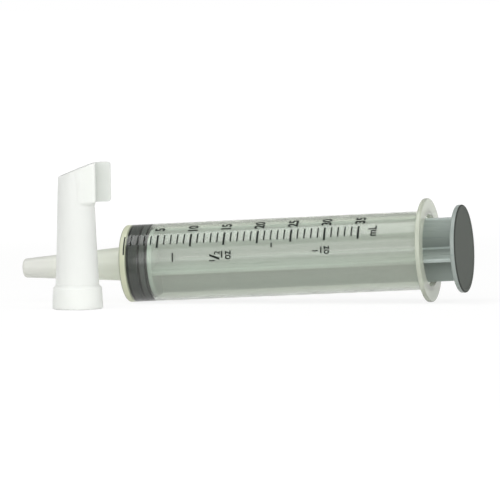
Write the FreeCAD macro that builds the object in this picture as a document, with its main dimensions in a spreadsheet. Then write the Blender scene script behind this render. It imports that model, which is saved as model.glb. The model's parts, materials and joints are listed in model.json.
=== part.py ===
"""Catheter-tip syringe of 35 mL, lying on its side, with its loose tip cap standing beside it.

The barrel is one moulding: tapered nozzle, tube, round flange and a stop ring inside the mouth.
A ribbed rubber stopper is snapped on the barbed boss of a cruciform plunger rod.
The barrel rests on the rounded edge of its front and on the rim of its flange, so its axis rises
towards the thumb disc. The cap stands on its collar in front of the nozzle, taken off.

Frame: +Z up, floor at Z = 0, +X from the nozzle towards the thumb disc, origin at the bottom
centre of the box round everything. Barrel, stopper and rod share one local frame: X along the
axis, zero at the nozzle's end. The cap's local frame has Z along its axis, zero at its foot.
"""
import FreeCAD, Part
import os
import re

import Sketcher

DRIVING_SIZES = [
    ("bore_diameter", 23.6, "inside of the tube"),
    ("tube_wall", 1.05, "wall of the tube beside its front"),
    ("tube_draft", 0.12, "growth of the outer radius from front to flange"),
    ("tube_length", 102.05, "front face to front of the flange"),
    ("front_wall", 1.3, "wall between bore and nozzle side"),
    ("front_round", 0.7, "round of the tube's front edge"),
    ("bore_corner_round", 0.6, "round inside, where bore and front wall meet"),
    ("flange_diameter", 34.3, "finger flange"),
    ("flange_thickness", 1.55, "finger flange"),
    ("flange_rim_round", 0.45, "round of both edges of the flange"),
    ("flange_root_round", 1.0, "round between tube and flange"),
    ("mouth_chamfer", 0.4, "lead-in at the open end of the bore"),
    ("stop_ring_height", 0.3, "bead that keeps the stopper in"),
    ("stop_ring_width", 1.4, "bead that keeps the stopper in"),
    ("stop_ring_setback", 3.0, "crest of the bead to the open end"),
    ("nozzle_length", 36.3, "free length of the nozzle"),
    ("nozzle_root_diameter", 11.54, "nozzle at the tube's front"),
    ("nozzle_end_diameter", 6.34, "nozzle at its free end"),
    ("nozzle_end_round", 0.9, "round of the free end"),
    ("nozzle_root_round", 0.8, "round between nozzle and front face"),
    ("nozzle_bore_root_diameter", 8.4, "channel at the front wall"),
    ("nozzle_bore_end_diameter", 3.4, "channel at the free end"),
    ("seal_play", 0.04, "radial play of the ribs in the bore"),
    ("nose_gap", 0.35, "stopper's nose to the front wall, plunger home"),
    ("nose_height", 0.85, "height of the stopper's flat cone"),
    ("nose_diameter", 9.0, "flat of the stopper's cone"),
    ("front_rib_width", 3.6, "wide sealing rib"),
    ("rib_groove_width", 0.9, "groove between the ribs"),
    ("rib_groove_depth", 0.55, "groove between the ribs"),
    ("rear_rib_width", 1.6, "narrow sealing rib"),
    ("stopper_tail", 0.7, "waist behind the narrow rib"),
    ("rib_round", 0.2, "round of the ribs' edges"),
    ("boss_stem_diameter", 6.4, "stem of the rod's boss"),
    ("boss_barb_diameter", 8.6, "barb of the rod's boss"),
    ("boss_nose_diameter", 6.8, "front of the barb"),
    ("boss_lip_length", 1.9, "rubber lip behind the barb"),
    ("boss_barb_length", 1.9, "barb, front to back"),
    ("boss_play", 0.06, "radial play of the boss in the stopper"),
    ("boss_end_play", 0.15, "play along the axis, boss and disc"),
    ("rod_disc_play", 0.6, "radial play of the disc in the bore"),
    ("rod_disc_thickness", 1.4, "disc behind the stopper"),
    ("rod_disc_round", 0.35, "round of the disc's edges"),
    ("fin_front_play", 0.6, "radial play of a fin beside the disc"),
    ("fin_rear_play", 0.8, "radial play of a fin beside the thumb disc"),
    ("fin_thickness", 1.3, "cruciform fins"),
    ("fin_edge_round", 0.35, "round along a fin's edge"),
    ("fin_root_round", 0.45, "round between two fins"),
    ("fin_count", 4, "fins round the axis"),
    ("fin_turn", 16.9, "degrees that a fin lies below the side, in front"),
    ("thumb_standoff", 9.95, "flange to thumb disc, plunger home"),
    ("thumb_diameter", 29.0, "thumb disc"),
    ("thumb_thickness", 1.5, "thumb disc"),
    ("thumb_rim_round", 0.5, "round of the thumb disc's edges"),
    ("thumb_dish_depth", 0.25, "shallow dish in the thumb face"),
    ("thumb_dish_border", 1.2, "flat border round the dish"),
    ("cap_height", 48.2, "foot to the top of the tab"),
    ("cap_slant_drop", 4.8, "fall of the slanted top across the cap"),
    ("cap_foot_diameter", 16.72, "collar at the floor"),
    ("cap_collar_diameter", 16.1, "collar below its chamfer"),
    ("cap_collar_height", 7.9, "collar with its chamfer"),
    ("cap_collar_chamfer", 0.9, "chamfer on top of the collar"),
    ("cap_foot_round", 0.5, "round of the foot's outer edge"),
    ("cap_tube_root_diameter", 14.3, "cap's tube above the collar"),
    ("cap_knee_height", 22.0, "height where the cap's taper changes"),
    ("cap_tube_knee_diameter", 13.06, "cap's tube at that height"),
    ("cap_tube_top_diameter", 11.5, "cap's tube at the top"),
    ("cap_bore_play", 0.05, "radial play of the cap's mouth on the nozzle's root"),
    ("cap_bore_top_diameter", 9.9, "cap's bore at the top"),
    ("tab_reach", 11.55, "cap's axis to the tab's edge"),
    ("tab_height", 13.1, "tab, top to bottom"),
    ("tab_thickness", 1.8, "tab"),
    ("tab_corner_round", 1.1, "outer corners of the tab"),
    ("pad_inset", 1.1, "cap's axis to the near side of the pad"),
    ("pad_edge", 6.1, "cap's axis to the far side of the pad"),
    ("pad_depth", 6.35, "cap's axis to the flat face of the pad"),
    ("pad_corner_round", 0.7, "upright edges of the pad"),
    ("cap_stand_ahead", 9.0, "cap's axis ahead of the tube's resting point"),
    ("cap_stand_aside", 34.5, "cap's axis beside the syringe's axis"),
    ("cap_turn", 16.5, "degrees the tab is turned from the syringe's axis"),
]

DERIVED_SIZES = [
    ("bore_radius", "bore_diameter / 2"),
    ("tube_front_radius", "bore_radius + tube_wall"),
    ("tube_end_radius", "tube_front_radius + tube_draft"),
    ("flange_radius", "flange_diameter / 2"),
    ("flange_front_at", "nozzle_length + tube_length"),
    ("mouth_at", "flange_front_at + flange_thickness"),
    ("front_wall_at", "nozzle_length + front_wall"),
    ("stop_ring_at", "mouth_at - stop_ring_setback"),
    ("nose_at", "front_wall_at + nose_gap"),
    ("front_rib_at", "nose_at + nose_height"),
    ("rib_groove_at", "front_rib_at + front_rib_width"),
    ("rear_rib_at", "rib_groove_at + rib_groove_width"),
    ("stopper_waist_at", "rear_rib_at + rear_rib_width"),
    ("stopper_rear_at", "stopper_waist_at + stopper_tail"),
    ("rib_radius", "bore_radius - seal_play"),
    ("waist_radius", "rib_radius - rib_groove_depth"),
    ("socket_lip_at", "stopper_rear_at - boss_lip_length"),
    ("boss_barb_back_at", "socket_lip_at - boss_end_play"),
    ("boss_front_at", "boss_barb_back_at - boss_barb_length"),
    ("socket_floor_at", "boss_front_at - boss_end_play"),
    ("rod_disc_at", "stopper_rear_at + boss_end_play"),
    ("rod_disc_radius", "bore_radius - rod_disc_play"),
    ("fin_front_radius", "bore_radius - fin_front_play"),
    ("fin_rear_radius", "bore_radius - fin_rear_play"),
    ("fins_at", "rod_disc_at + rod_disc_thickness"),
    ("thumb_at", "mouth_at + thumb_standoff"),
    ("thumb_face_at", "thumb_at + thumb_thickness"),
    ("thumb_radius", "thumb_diameter / 2"),
    ("cap_foot_radius", "cap_foot_diameter / 2"),
    ("cap_tube_top_radius", "cap_tube_top_diameter / 2"),
    ("cap_bore_mouth_radius", "nozzle_root_diameter / 2 + cap_bore_play"),
    ("tab_bottom", "cap_height - tab_height"),
    ("rest_span", "tube_length + flange_rim_round - front_round"),
    ("rest_rise", "flange_radius - flange_rim_round - tube_front_radius + front_round"),
    ("rest_tilt", "(atan(rest_rise / rest_span)"
                  " + asin((flange_rim_round - front_round) / hypot(rest_span; rest_rise))) / 1deg"),
    ("tilt_cosine", "cos(rest_tilt * 1deg)"),
    ("tilt_sine", "sin(rest_tilt * 1deg)"),
    ("front_contact_at", "nozzle_length + front_round"),
    ("front_contact_radius", "tube_front_radius - front_round"),
    ("nozzle_end_height", "front_round + front_contact_radius * tilt_cosine"
                          " - front_contact_at * tilt_sine"),
    ("low_end", "(tilt_cosine - 1) * nozzle_end_round"
                " - (nozzle_end_diameter / 2 - nozzle_end_round) * tilt_sine"),
    ("high_end", "(thumb_face_at - thumb_rim_round) * tilt_cosine"
                 " + (thumb_radius - thumb_rim_round) * tilt_sine + thumb_rim_round"),
    ("nozzle_end_x", "-(low_end + high_end) / 2"),
    ("axis_y", "(cap_stand_aside + cap_foot_radius - flange_radius) / 2"),
    ("front_contact_x", "nozzle_end_x + front_contact_at * tilt_cosine"
                        " + front_contact_radius * tilt_sine"),
    ("cap_x", "front_contact_x - cap_stand_ahead"),
    ("cap_y", "axis_y - cap_stand_aside"),
]

X_AXIS = FreeCAD.Vector(1, 0, 0)
Z_AXIS = FreeCAD.Vector(0, 0, 1)
SAME = 1e-4
NAMES = {entry[0] for entry in DRIVING_SIZES + DERIVED_SIZES}

doc = FreeCAD.newDocument("syringe")
sheet = doc.addObject("Spreadsheet::Sheet", "sizes")


def fill_sheet():
    """Write every driving size as a plain number and every derived one as a formula."""
    row = 0
    for name, number, meaning in DRIVING_SIZES:
        row += 1
        sheet.set(f"A{row}", meaning)
        sheet.set(f"B{row}", str(number))
        sheet.setAlias(f"B{row}", name)
    for name, formula in DERIVED_SIZES:
        row += 1
        sheet.set(f"A{row}", name.replace("_", " "))
        sheet.set(f"B{row}", "=" + formula)
        sheet.setAlias(f"B{row}", name)
    doc.recompute()


def size(name):
    """The number that a cell of the sheet holds."""
    return float(sheet.get(name))


def linked(formula):
    """The same formula with each size read from the sheet, as other objects must write it."""
    return re.sub(r"[a-z_]+", lambda word: "sizes." + word[0] if word[0] in NAMES else word[0], formula)


def new_body(label):
    """An empty body whose label names its file."""
    body = doc.addObject("PartDesign::Body", label)
    body.Label = label
    return body


def new_sketch(body, name, role="XZ_Plane"):
    """A sketch on one of the body's own origin planes."""
    sketch = body.newObject("Sketcher::SketchObject", name)
    plane = next(item for item in body.Origin.OriginFeatures if item.Role == role)
    sketch.AttachmentSupport = [(plane, "")]
    sketch.MapMode = "FlatFace"
    return sketch


def pin_down(sketch, corner, kind, formula):
    """Tie one coordinate of a corner to the sheet, or to an axis where it is zero."""
    if formula == "0":
        axis = -2 if kind == "DistanceX" else -1
        sketch.addConstraint(Sketcher.Constraint("PointOnObject", corner, 1, axis))
        return
    number = sketch.evalExpression(linked(formula))
    if number < 0:
        index = sketch.addConstraint(Sketcher.Constraint(kind, corner, 1, -1, 1, -number))
        sketch.setExpression(f"Constraints[{index}]", linked(f"-({formula})"))
    else:
        index = sketch.addConstraint(Sketcher.Constraint(kind, -1, 1, corner, 1, number))
        sketch.setExpression(f"Constraints[{index}]", linked(formula))


def outline(sketch, corners):
    """A closed outline of straight lines; each corner is a pair of formulas in named sizes."""
    spots = [FreeCAD.Vector(sketch.evalExpression(linked(across)),
                            sketch.evalExpression(linked(along)), 0)
             for across, along in corners]
    count = len(corners)
    for index in range(count):
        line = Part.LineSegment(spots[index], spots[(index + 1) % count])
        sketch.addGeometry(line, False)
    for index in range(count):
        follower = (index + 1) % count
        sketch.addConstraint(Sketcher.Constraint("Coincident", index, 2, follower, 1))
    for index, (across, along) in enumerate(corners):
        pin_down(sketch, index, "DistanceX", across)
        pin_down(sketch, index, "DistanceY", along)
    doc.recompute()


def turned(body, name, kind, corners, axis="H_Axis"):
    """A revolved feature, added or cut, from an outline on the XZ plane."""
    sketch = new_sketch(body, name + "_outline")
    outline(sketch, corners)
    feature = body.newObject(kind, name)
    feature.Profile = sketch
    feature.ReferenceAxis = (sketch, [axis])
    feature.Angle = 360
    sketch.Visibility = False
    doc.recompute()
    return feature


def ring_edges(feature, at, radius, axis=X_AXIS):
    """Names of the round edges about an axis, at one place along it and of one radius."""
    found = []
    for number, edge in enumerate(feature.Shape.Edges, 1):
        curve = edge.Curve
        if isinstance(curve, Part.Circle):
            away = (curve.Center - axis * at).Length
            if away < SAME and abs(curve.Radius - radius) < SAME:
                found.append(f"Edge{number}")
    return found


def straight_edges(feature, fits):
    """Names of the straight edges whose two ends both meet the given condition."""
    found = []
    for number, edge in enumerate(feature.Shape.Edges, 1):
        if isinstance(edge.Curve, Part.Line) and all(fits(end.Point) for end in edge.Vertexes):
            found.append(f"Edge{number}")
    return found


def edges_along(feature, nearest, farthest):
    """Names of the edges that run along the X axis, between two distances from it."""
    def beside_axis(end):
        away = (end.y ** 2 + end.z ** 2) ** 0.5
        return nearest < away < farthest

    long_enough = size("tube_length") / 2
    return [name for name in straight_edges(feature, beside_axis)
            if feature.getSubObject(name).Length > long_enough]


def rounded(body, name, edges, radius):
    """A fillet on named edges of the body's last feature, its radius tied to the sheet."""
    base = body.Tip
    fillet = body.newObject("PartDesign::Fillet", name)
    fillet.Base = (base, edges)
    fillet.setExpression("Radius", linked(radius))
    doc.recompute()
    return fillet


def lay_down(body):
    """Tilt a piece of the syringe with its axis and move the nozzle's end to its place."""
    body.Placement = FreeCAD.Placement(FreeCAD.Vector(0, 0, 0),
                                       FreeCAD.Rotation(FreeCAD.Vector(0, -1, 0), 1))
    body.setExpression("Placement.Base.x", linked("nozzle_end_x"))
    body.setExpression("Placement.Base.y", linked("axis_y"))
    body.setExpression("Placement.Base.z", linked("nozzle_end_height"))
    body.setExpression("Placement.Rotation.Angle", linked("rest_tilt"))


def make_barrel():
    """Nozzle, tube and flange in one turned moulding with a stepless bore and a stop ring."""
    body = new_body("barrel")
    turned(body, "barrel_moulding", "PartDesign::Revolution", [
        ("0", "nozzle_bore_end_diameter / 2"),
        ("0", "nozzle_end_diameter / 2"),
        ("nozzle_length", "nozzle_root_diameter / 2"),
        ("nozzle_length", "tube_front_radius"),
        ("flange_front_at", "tube_end_radius"),
        ("flange_front_at", "flange_radius"),
        ("mouth_at", "flange_radius"),
        ("mouth_at", "bore_radius + mouth_chamfer"),
        ("mouth_at - mouth_chamfer", "bore_radius"),
        ("stop_ring_at + stop_ring_width / 2", "bore_radius"),
        ("stop_ring_at", "bore_radius - stop_ring_height"),
        ("stop_ring_at - stop_ring_width / 2", "bore_radius"),
        ("front_wall_at", "bore_radius"),
        ("front_wall_at", "nozzle_bore_root_diameter / 2"),
    ])
    tip_edges = ring_edges(body.Tip, 0, size("nozzle_end_diameter") / 2)
    rounded(body, "nozzle_end_rounding", tip_edges, "nozzle_end_round")
    root_edges = ring_edges(body.Tip, size("nozzle_length"), size("nozzle_root_diameter") / 2)
    rounded(body, "nozzle_root_rounding", root_edges, "nozzle_root_round")
    front_edges = ring_edges(body.Tip, size("nozzle_length"), size("tube_front_radius"))
    rounded(body, "front_rounding", front_edges, "front_round")
    neck_edges = ring_edges(body.Tip, size("flange_front_at"), size("tube_end_radius"))
    rounded(body, "flange_root_rounding", neck_edges, "flange_root_round")
    rim_edges = (ring_edges(body.Tip, size("flange_front_at"), size("flange_radius"))
                 + ring_edges(body.Tip, size("mouth_at"), size("flange_radius")))
    rounded(body, "flange_rim_rounding", rim_edges, "flange_rim_round")
    corner_edges = ring_edges(body.Tip, size("front_wall_at"), size("bore_radius"))
    rounded(body, "bore_corner_rounding", corner_edges, "bore_corner_round")
    lay_down(body)
    return body


def make_gasket():
    """Rubber stopper: flat cone, wide rib, groove, narrow rib, waist and a socket for the boss."""
    body = new_body("gasket")
    turned(body, "gasket_moulding", "PartDesign::Revolution", [
        ("nose_at", "0"),
        ("nose_at", "nose_diameter / 2"),
        ("front_rib_at", "rib_radius"),
        ("rib_groove_at", "rib_radius"),
        ("rib_groove_at + rib_groove_width / 4", "waist_radius"),
        ("rear_rib_at - rib_groove_width / 4", "waist_radius"),
        ("rear_rib_at", "rib_radius"),
        ("stopper_waist_at", "rib_radius"),
        ("stopper_waist_at + rib_round", "waist_radius"),
        ("stopper_rear_at", "waist_radius"),
        ("stopper_rear_at", "boss_stem_diameter / 2 + boss_play"),
        ("socket_lip_at", "boss_stem_diameter / 2 + boss_play"),
        ("socket_lip_at", "boss_barb_diameter / 2 + boss_play"),
        ("socket_floor_at", "boss_barb_diameter / 2 + boss_play"),
        ("socket_floor_at", "0"),
    ])
    crest_edges = []
    for at in ("front_rib_at", "rib_groove_at", "rear_rib_at", "stopper_waist_at"):
        crest_edges += ring_edges(body.Tip, size(at), size("rib_radius"))
    rounded(body, "rib_rounding", crest_edges, "rib_round")
    lay_down(body)
    return body


def make_plunger_rod():
    """Barbed boss, front disc, four tapering fins and a thumb disc with a shallow dish."""
    body = new_body("plunger_rod")
    turned(body, "boss_and_disc", "PartDesign::Revolution", [
        ("boss_front_at", "0"),
        ("boss_front_at", "boss_nose_diameter / 2"),
        ("boss_barb_back_at - boss_barb_length / 4", "boss_barb_diameter / 2"),
        ("boss_barb_back_at", "boss_barb_diameter / 2"),
        ("boss_barb_back_at", "boss_stem_diameter / 2"),
        ("rod_disc_at", "boss_stem_diameter / 2"),
        ("rod_disc_at", "rod_disc_radius"),
        ("fins_at", "rod_disc_radius"),
        ("fins_at", "0"),
    ])
    disc_edges = (ring_edges(body.Tip, size("rod_disc_at"), size("rod_disc_radius"))
                  + ring_edges(body.Tip, size("fins_at"), size("rod_disc_radius")))
    rounded(body, "rod_disc_rounding", disc_edges, "rod_disc_round")

    sketch = new_sketch(body, "fin_outline")
    sketch.AttachmentOffset = FreeCAD.Placement(FreeCAD.Vector(0, 0, 0),
                                                FreeCAD.Rotation(FreeCAD.Vector(1, 0, 0), 1))
    sketch.setExpression("AttachmentOffset.Rotation.Angle", linked("fin_turn"))
    outline(sketch, [
        ("fins_at - rod_disc_thickness / 2", "0"),
        ("fins_at - rod_disc_thickness / 2", "fin_front_radius - rod_disc_round"),
        ("fins_at", "fin_front_radius"),
        ("thumb_at", "fin_rear_radius"),
        ("thumb_at + thumb_thickness / 2", "fin_rear_radius"),
        ("thumb_at + thumb_thickness / 2", "0"),
    ])
    fin = body.newObject("PartDesign::Pad", "fin")
    fin.Profile = sketch
    fin.SideType = "Symmetric"
    fin.setExpression("Length", linked("fin_thickness"))
    sketch.Visibility = False
    doc.recompute()
    pattern = body.newObject("PartDesign::PolarPattern", "fins")
    pattern.Originals = [fin]
    pattern.Axis = (next(item for item in body.Origin.OriginFeatures if item.Role == "X_Axis"), [""])
    pattern.Angle = 360
    pattern.setExpression("Occurrences", linked("fin_count"))
    body.Tip = pattern
    doc.recompute()
    tip_edges = edges_along(pattern, size("fin_rear_radius") - SAME, size("bore_radius"))
    rounded(body, "fin_rounding", tip_edges, "fin_edge_round")
    root_edges = edges_along(body.Tip, 0, size("fin_thickness"))
    rounded(body, "fin_root_rounding", root_edges, "fin_root_round")

    turned(body, "thumb_disc", "PartDesign::Revolution", [
        ("thumb_at", "0"),
        ("thumb_at", "thumb_radius"),
        ("thumb_face_at", "thumb_radius"),
        ("thumb_face_at", "thumb_radius - thumb_dish_border"),
        ("thumb_face_at - thumb_dish_depth", "thumb_radius - thumb_dish_border - thumb_dish_depth"),
        ("thumb_face_at - thumb_dish_depth", "0"),
    ])
    rim_edges = (ring_edges(body.Tip, size("thumb_at"), size("thumb_radius"))
                 + ring_edges(body.Tip, size("thumb_face_at"), size("thumb_radius")))
    rounded(body, "thumb_rounding", rim_edges, "thumb_rim_round")
    lay_down(body)
    return body


def make_tip_cap():
    """Tapered sleeve with a collar, a slanted open top, a side tab and a flat thumb pad."""
    body = new_body("tip_cap")
    turned(body, "cap_moulding", "PartDesign::Revolution", [
        ("0", "0"),
        ("cap_foot_radius", "0"),
        ("cap_collar_diameter / 2", "cap_collar_height - cap_collar_chamfer"),
        ("cap_tube_root_diameter / 2", "cap_collar_height"),
        ("cap_tube_knee_diameter / 2", "cap_knee_height"),
        ("cap_tube_top_radius", "cap_height"),
        ("0", "cap_height"),
    ], axis="V_Axis")

    tab_sketch = new_sketch(body, "tab_outline")
    outline(tab_sketch, [
        ("0", "tab_bottom"),
        ("tab_reach", "tab_bottom"),
        ("tab_reach", "cap_height"),
        ("0", "cap_height"),
    ])
    tab = body.newObject("PartDesign::Pad", "tab")
    tab.Profile = tab_sketch
    tab.SideType = "Symmetric"
    tab.setExpression("Length", linked("tab_thickness"))
    tab_sketch.Visibility = False
    doc.recompute()
    outer_edges = straight_edges(tab, lambda end: abs(end.x - size("tab_reach")) < SAME)
    corner_edges = [name for name in outer_edges
                    if tab.getSubObject(name).Length < size("tab_thickness") + SAME]
    rounded(body, "tab_corner_rounding", corner_edges, "tab_corner_round")

    pad_sketch = new_sketch(body, "pad_outline")
    outline(pad_sketch, [
        ("pad_inset", "tab_bottom"),
        ("pad_edge", "tab_bottom"),
        ("pad_edge", "cap_height"),
        ("pad_inset", "cap_height"),
    ])
    pad = body.newObject("PartDesign::Pad", "thumb_pad")
    pad.Profile = pad_sketch
    pad.setExpression("Length", linked("pad_depth"))
    pad_sketch.Visibility = False
    doc.recompute()
    face_at = -size("pad_depth")
    pad_edges = straight_edges(pad, lambda end: abs(end.x - size("pad_edge")) < SAME
                               and abs(end.y - face_at) < SAME)
    rounded(body, "pad_rounding", pad_edges, "pad_corner_round")

    slant_sketch = new_sketch(body, "slant_outline")
    outline(slant_sketch, [
        ("pad_edge", "cap_height"),
        ("pad_edge", "cap_height + cap_slant_drop"),
        ("-tab_reach", "cap_height + cap_slant_drop"),
        ("-tab_reach", "cap_height - cap_slant_drop * (pad_edge + tab_reach)"
                       " / (pad_edge + cap_tube_top_radius)"),
    ])
    slant = body.newObject("PartDesign::Pocket", "slanted_top")
    slant.Profile = slant_sketch
    slant.Type = "ThroughAll"
    slant.SideType = "Symmetric"
    slant_sketch.Visibility = False
    doc.recompute()

    turned(body, "cap_bore", "PartDesign::Groove", [
        ("0", "0"),
        ("cap_bore_mouth_radius", "0"),
        ("cap_bore_top_diameter / 2", "cap_height"),
        ("0", "cap_height"),
    ], axis="V_Axis")
    foot_edges = ring_edges(body.Tip, 0, size("cap_foot_radius"), Z_AXIS)
    rounded(body, "foot_rounding", foot_edges, "cap_foot_round")
    body.Placement = FreeCAD.Placement(FreeCAD.Vector(0, 0, 0),
                                       FreeCAD.Rotation(Z_AXIS, 1))
    body.setExpression("Placement.Base.x", linked("cap_x"))
    body.setExpression("Placement.Base.y", linked("cap_y"))
    body.setExpression("Placement.Rotation.Angle", linked("cap_turn"))
    return body


fill_sheet()
pieces = [make_barrel(), make_gasket(), make_plunger_rod(), make_tip_cap()]
doc.recompute()

for item in doc.Objects:
    if "Invalid" in item.State or "Error" in item.State:
        raise RuntimeError(f"{item.Label} failed: {item.State}")
for piece in pieces:
    if piece.Shape.isNull() or not piece.Shape.isValid() or len(piece.Shape.Solids) != 1:
        raise RuntimeError(f"{piece.Label} is not one valid solid")

os.makedirs("parts", exist_ok=True)
for piece in pieces:
    piece.Shape.exportStep(f"parts/{piece.Label}.step")
    box = piece.Shape.optimalBoundingBox()
    print(piece.Label, "volume", round(piece.Shape.Volume, 1), "mm3, X", round(box.XMin, 2),
          round(box.XMax, 2), "Y", round(box.YMin, 2), round(box.YMax, 2),
          "Z", round(box.ZMin, 3), round(box.ZMax, 2))
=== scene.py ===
"""A catheter-tip syringe lying on a white table, with its loose tip cap standing in front of the nozzle.

The syringe's pieces are surfaces of revolution about its axis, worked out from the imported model's mounts
and joints. Their outlines are in millimetres: the distance from the nozzle's end, then the radius.
"""
import json
import math

import bpy
import numpy as np
from mathutils import Matrix, Vector


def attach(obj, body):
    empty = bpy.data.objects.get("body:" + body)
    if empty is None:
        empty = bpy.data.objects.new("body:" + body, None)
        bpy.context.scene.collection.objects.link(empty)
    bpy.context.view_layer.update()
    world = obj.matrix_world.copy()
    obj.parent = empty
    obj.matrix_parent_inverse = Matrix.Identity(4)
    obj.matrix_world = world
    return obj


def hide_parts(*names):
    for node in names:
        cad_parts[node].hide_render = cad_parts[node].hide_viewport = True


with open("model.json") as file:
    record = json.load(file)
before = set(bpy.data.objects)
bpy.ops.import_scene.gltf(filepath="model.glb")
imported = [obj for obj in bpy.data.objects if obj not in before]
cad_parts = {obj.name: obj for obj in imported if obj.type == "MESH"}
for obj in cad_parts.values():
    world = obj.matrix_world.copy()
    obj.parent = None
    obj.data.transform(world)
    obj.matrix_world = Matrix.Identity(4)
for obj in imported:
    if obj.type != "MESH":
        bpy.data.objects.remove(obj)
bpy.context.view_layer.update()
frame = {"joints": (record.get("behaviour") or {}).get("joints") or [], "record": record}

MM = 0.001
IMAGE_WIDTH = 500.0

record = frame["record"]
mounts = {mount["name"]: mount for mount in record["mounts"]}
joints = {joint["name"]: joint for joint in frame["joints"]}

NOZZLE_END = np.array(mounts["nozzle"]["pos_m"])
ALONG = -np.array(mounts["nozzle"]["axis"])
SIDE = np.array([0.0, 1.0, 0.0])
ABOVE = np.cross(ALONG, SIDE)


def station(point):
    """Distance in millimetres of a point from the nozzle's end, along the syringe."""
    return float((np.array(point) - NOZZLE_END) @ ALONG) / MM


# Syringe, in millimetres
FLANGE_FRONT = station(mounts["flange_front"]["pos_m"])
THUMB_DISH_FLOOR = station(mounts["thumb_face"]["pos_m"])
ROD_DISC_FRONT = station(joints["plunger_turn"]["pos_m"])

NOZZLE_LENGTH = 36.3
NOZZLE_END_RADIUS = 3.17
NOZZLE_ROOT_RADIUS = 5.77
CHANNEL_END_RADIUS = 1.7
CHANNEL_ROOT_RADIUS = 4.2
BORE_RADIUS = 11.8
TUBE_FRONT_RADIUS = 12.85
TUBE_END_RADIUS = 12.97
FRONT_WALL = 1.3
BORE_FRONT = NOZZLE_LENGTH + FRONT_WALL
FLANGE_RADIUS = 17.15
FLANGE_THICKNESS = 1.55
STOP_RING_SETBACK = 3.0
STOP_RING_HEIGHT = 0.3
STOP_RING_HALF = 0.7

NOSE_GAP = 0.35
NOSE_HEIGHT = 0.85
NOSE_RADIUS = 4.5
FRONT_RIB = 3.6
RIB_GROOVE = 0.9
REAR_RIB = 1.6
STOPPER_NOSE = BORE_FRONT + NOSE_GAP
STOPPER_FRONT = STOPPER_NOSE + NOSE_HEIGHT
STOPPER_GROOVE = STOPPER_FRONT + FRONT_RIB
STOPPER_REAR_RIB = STOPPER_GROOVE + RIB_GROOVE
STOPPER_WAIST = STOPPER_REAR_RIB + REAR_RIB
WAIST_DEPTH = 0.55
RUBBER_SQUEEZE = 0.03
BOSS_STEM_RADIUS = 3.2
BOSS_BARB_RADIUS = 4.3
BOSS_NOSE_RADIUS = 3.4
BOSS_PLAY = 0.06
BOSS_BARB = 1.9
BOSS_LIP = 1.9
BOSS_END_PLAY = 0.15

ROD_DISC_RADIUS = BORE_RADIUS - 0.6
ROD_DISC_THICKNESS = 1.4
FIN_COUNT = 4
FIN_FRONT_REACH = BORE_RADIUS - 0.6
FIN_REAR_REACH = BORE_RADIUS - 0.8
FIN_HALF_THICKNESS = 0.65
FIN_TURN = math.radians(16.9)
THUMB_RADIUS = 14.5
THUMB_THICKNESS = 1.9
THUMB_DISH = 0.25
THUMB_BORDER = 1.2
THUMB_FACE = THUMB_DISH_FLOOR + THUMB_DISH
THUMB_FRONT = THUMB_FACE - THUMB_THICKNESS

# Tip cap, in millimetres
CAP_CENTRE = np.mean(np.array(record["physics"]["openings"][0]["box_m"]), 0)
CAP_HEIGHT = 48.2
CAP_SLANT_DROP = 4.8
CAP_FOOT_RADIUS = 8.36
CAP_COLLAR_RADIUS = 8.05
CAP_COLLAR_HEIGHT = 7.9
CAP_COLLAR_CHAMFER = 0.9
CAP_ROOT_RADIUS = 7.15
CAP_KNEE_HEIGHT = 22.0
CAP_KNEE_RADIUS = 6.53
CAP_TOP_RADIUS = 5.75
CAP_BORE_MOUTH_RADIUS = 5.82
CAP_BORE_TOP_RADIUS = 4.95
CAP_TURN = math.radians(16.5)
TAB_REACH = 11.55
TAB_HEIGHT = 13.1
TAB_HALF_THICKNESS = 0.9
TAB_CORNER = 1.1
PAD_INSET = 1.1
PAD_EDGE = 6.5
PAD_DEPTH = 6.35
PAD_START = math.radians(-97)
PAD_END_BELOW = 1.4
PAD_END_ABOVE = 0.3
DRAWN_IN_FROM = 1.0
DRAWN_IN_MARGIN = 0.5

# Mesh fineness
AROUND = 192
ARC_STEP = math.radians(9)
COLUMN_TURN = math.radians(3)
TAB_STEP = 0.02
HOLD = 0.06
LONG_RUN = 8 * HOLD
FIN_ROWS = 25
SLEEVE_ROWS = 20
PAD_END_ROWS = 12
TAB_CORNER_ROWS = 8
TAB_ROWS = 30
CAP_BORE_ROWS = 30
SMOOTH_LIMIT = math.radians(32)


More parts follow.
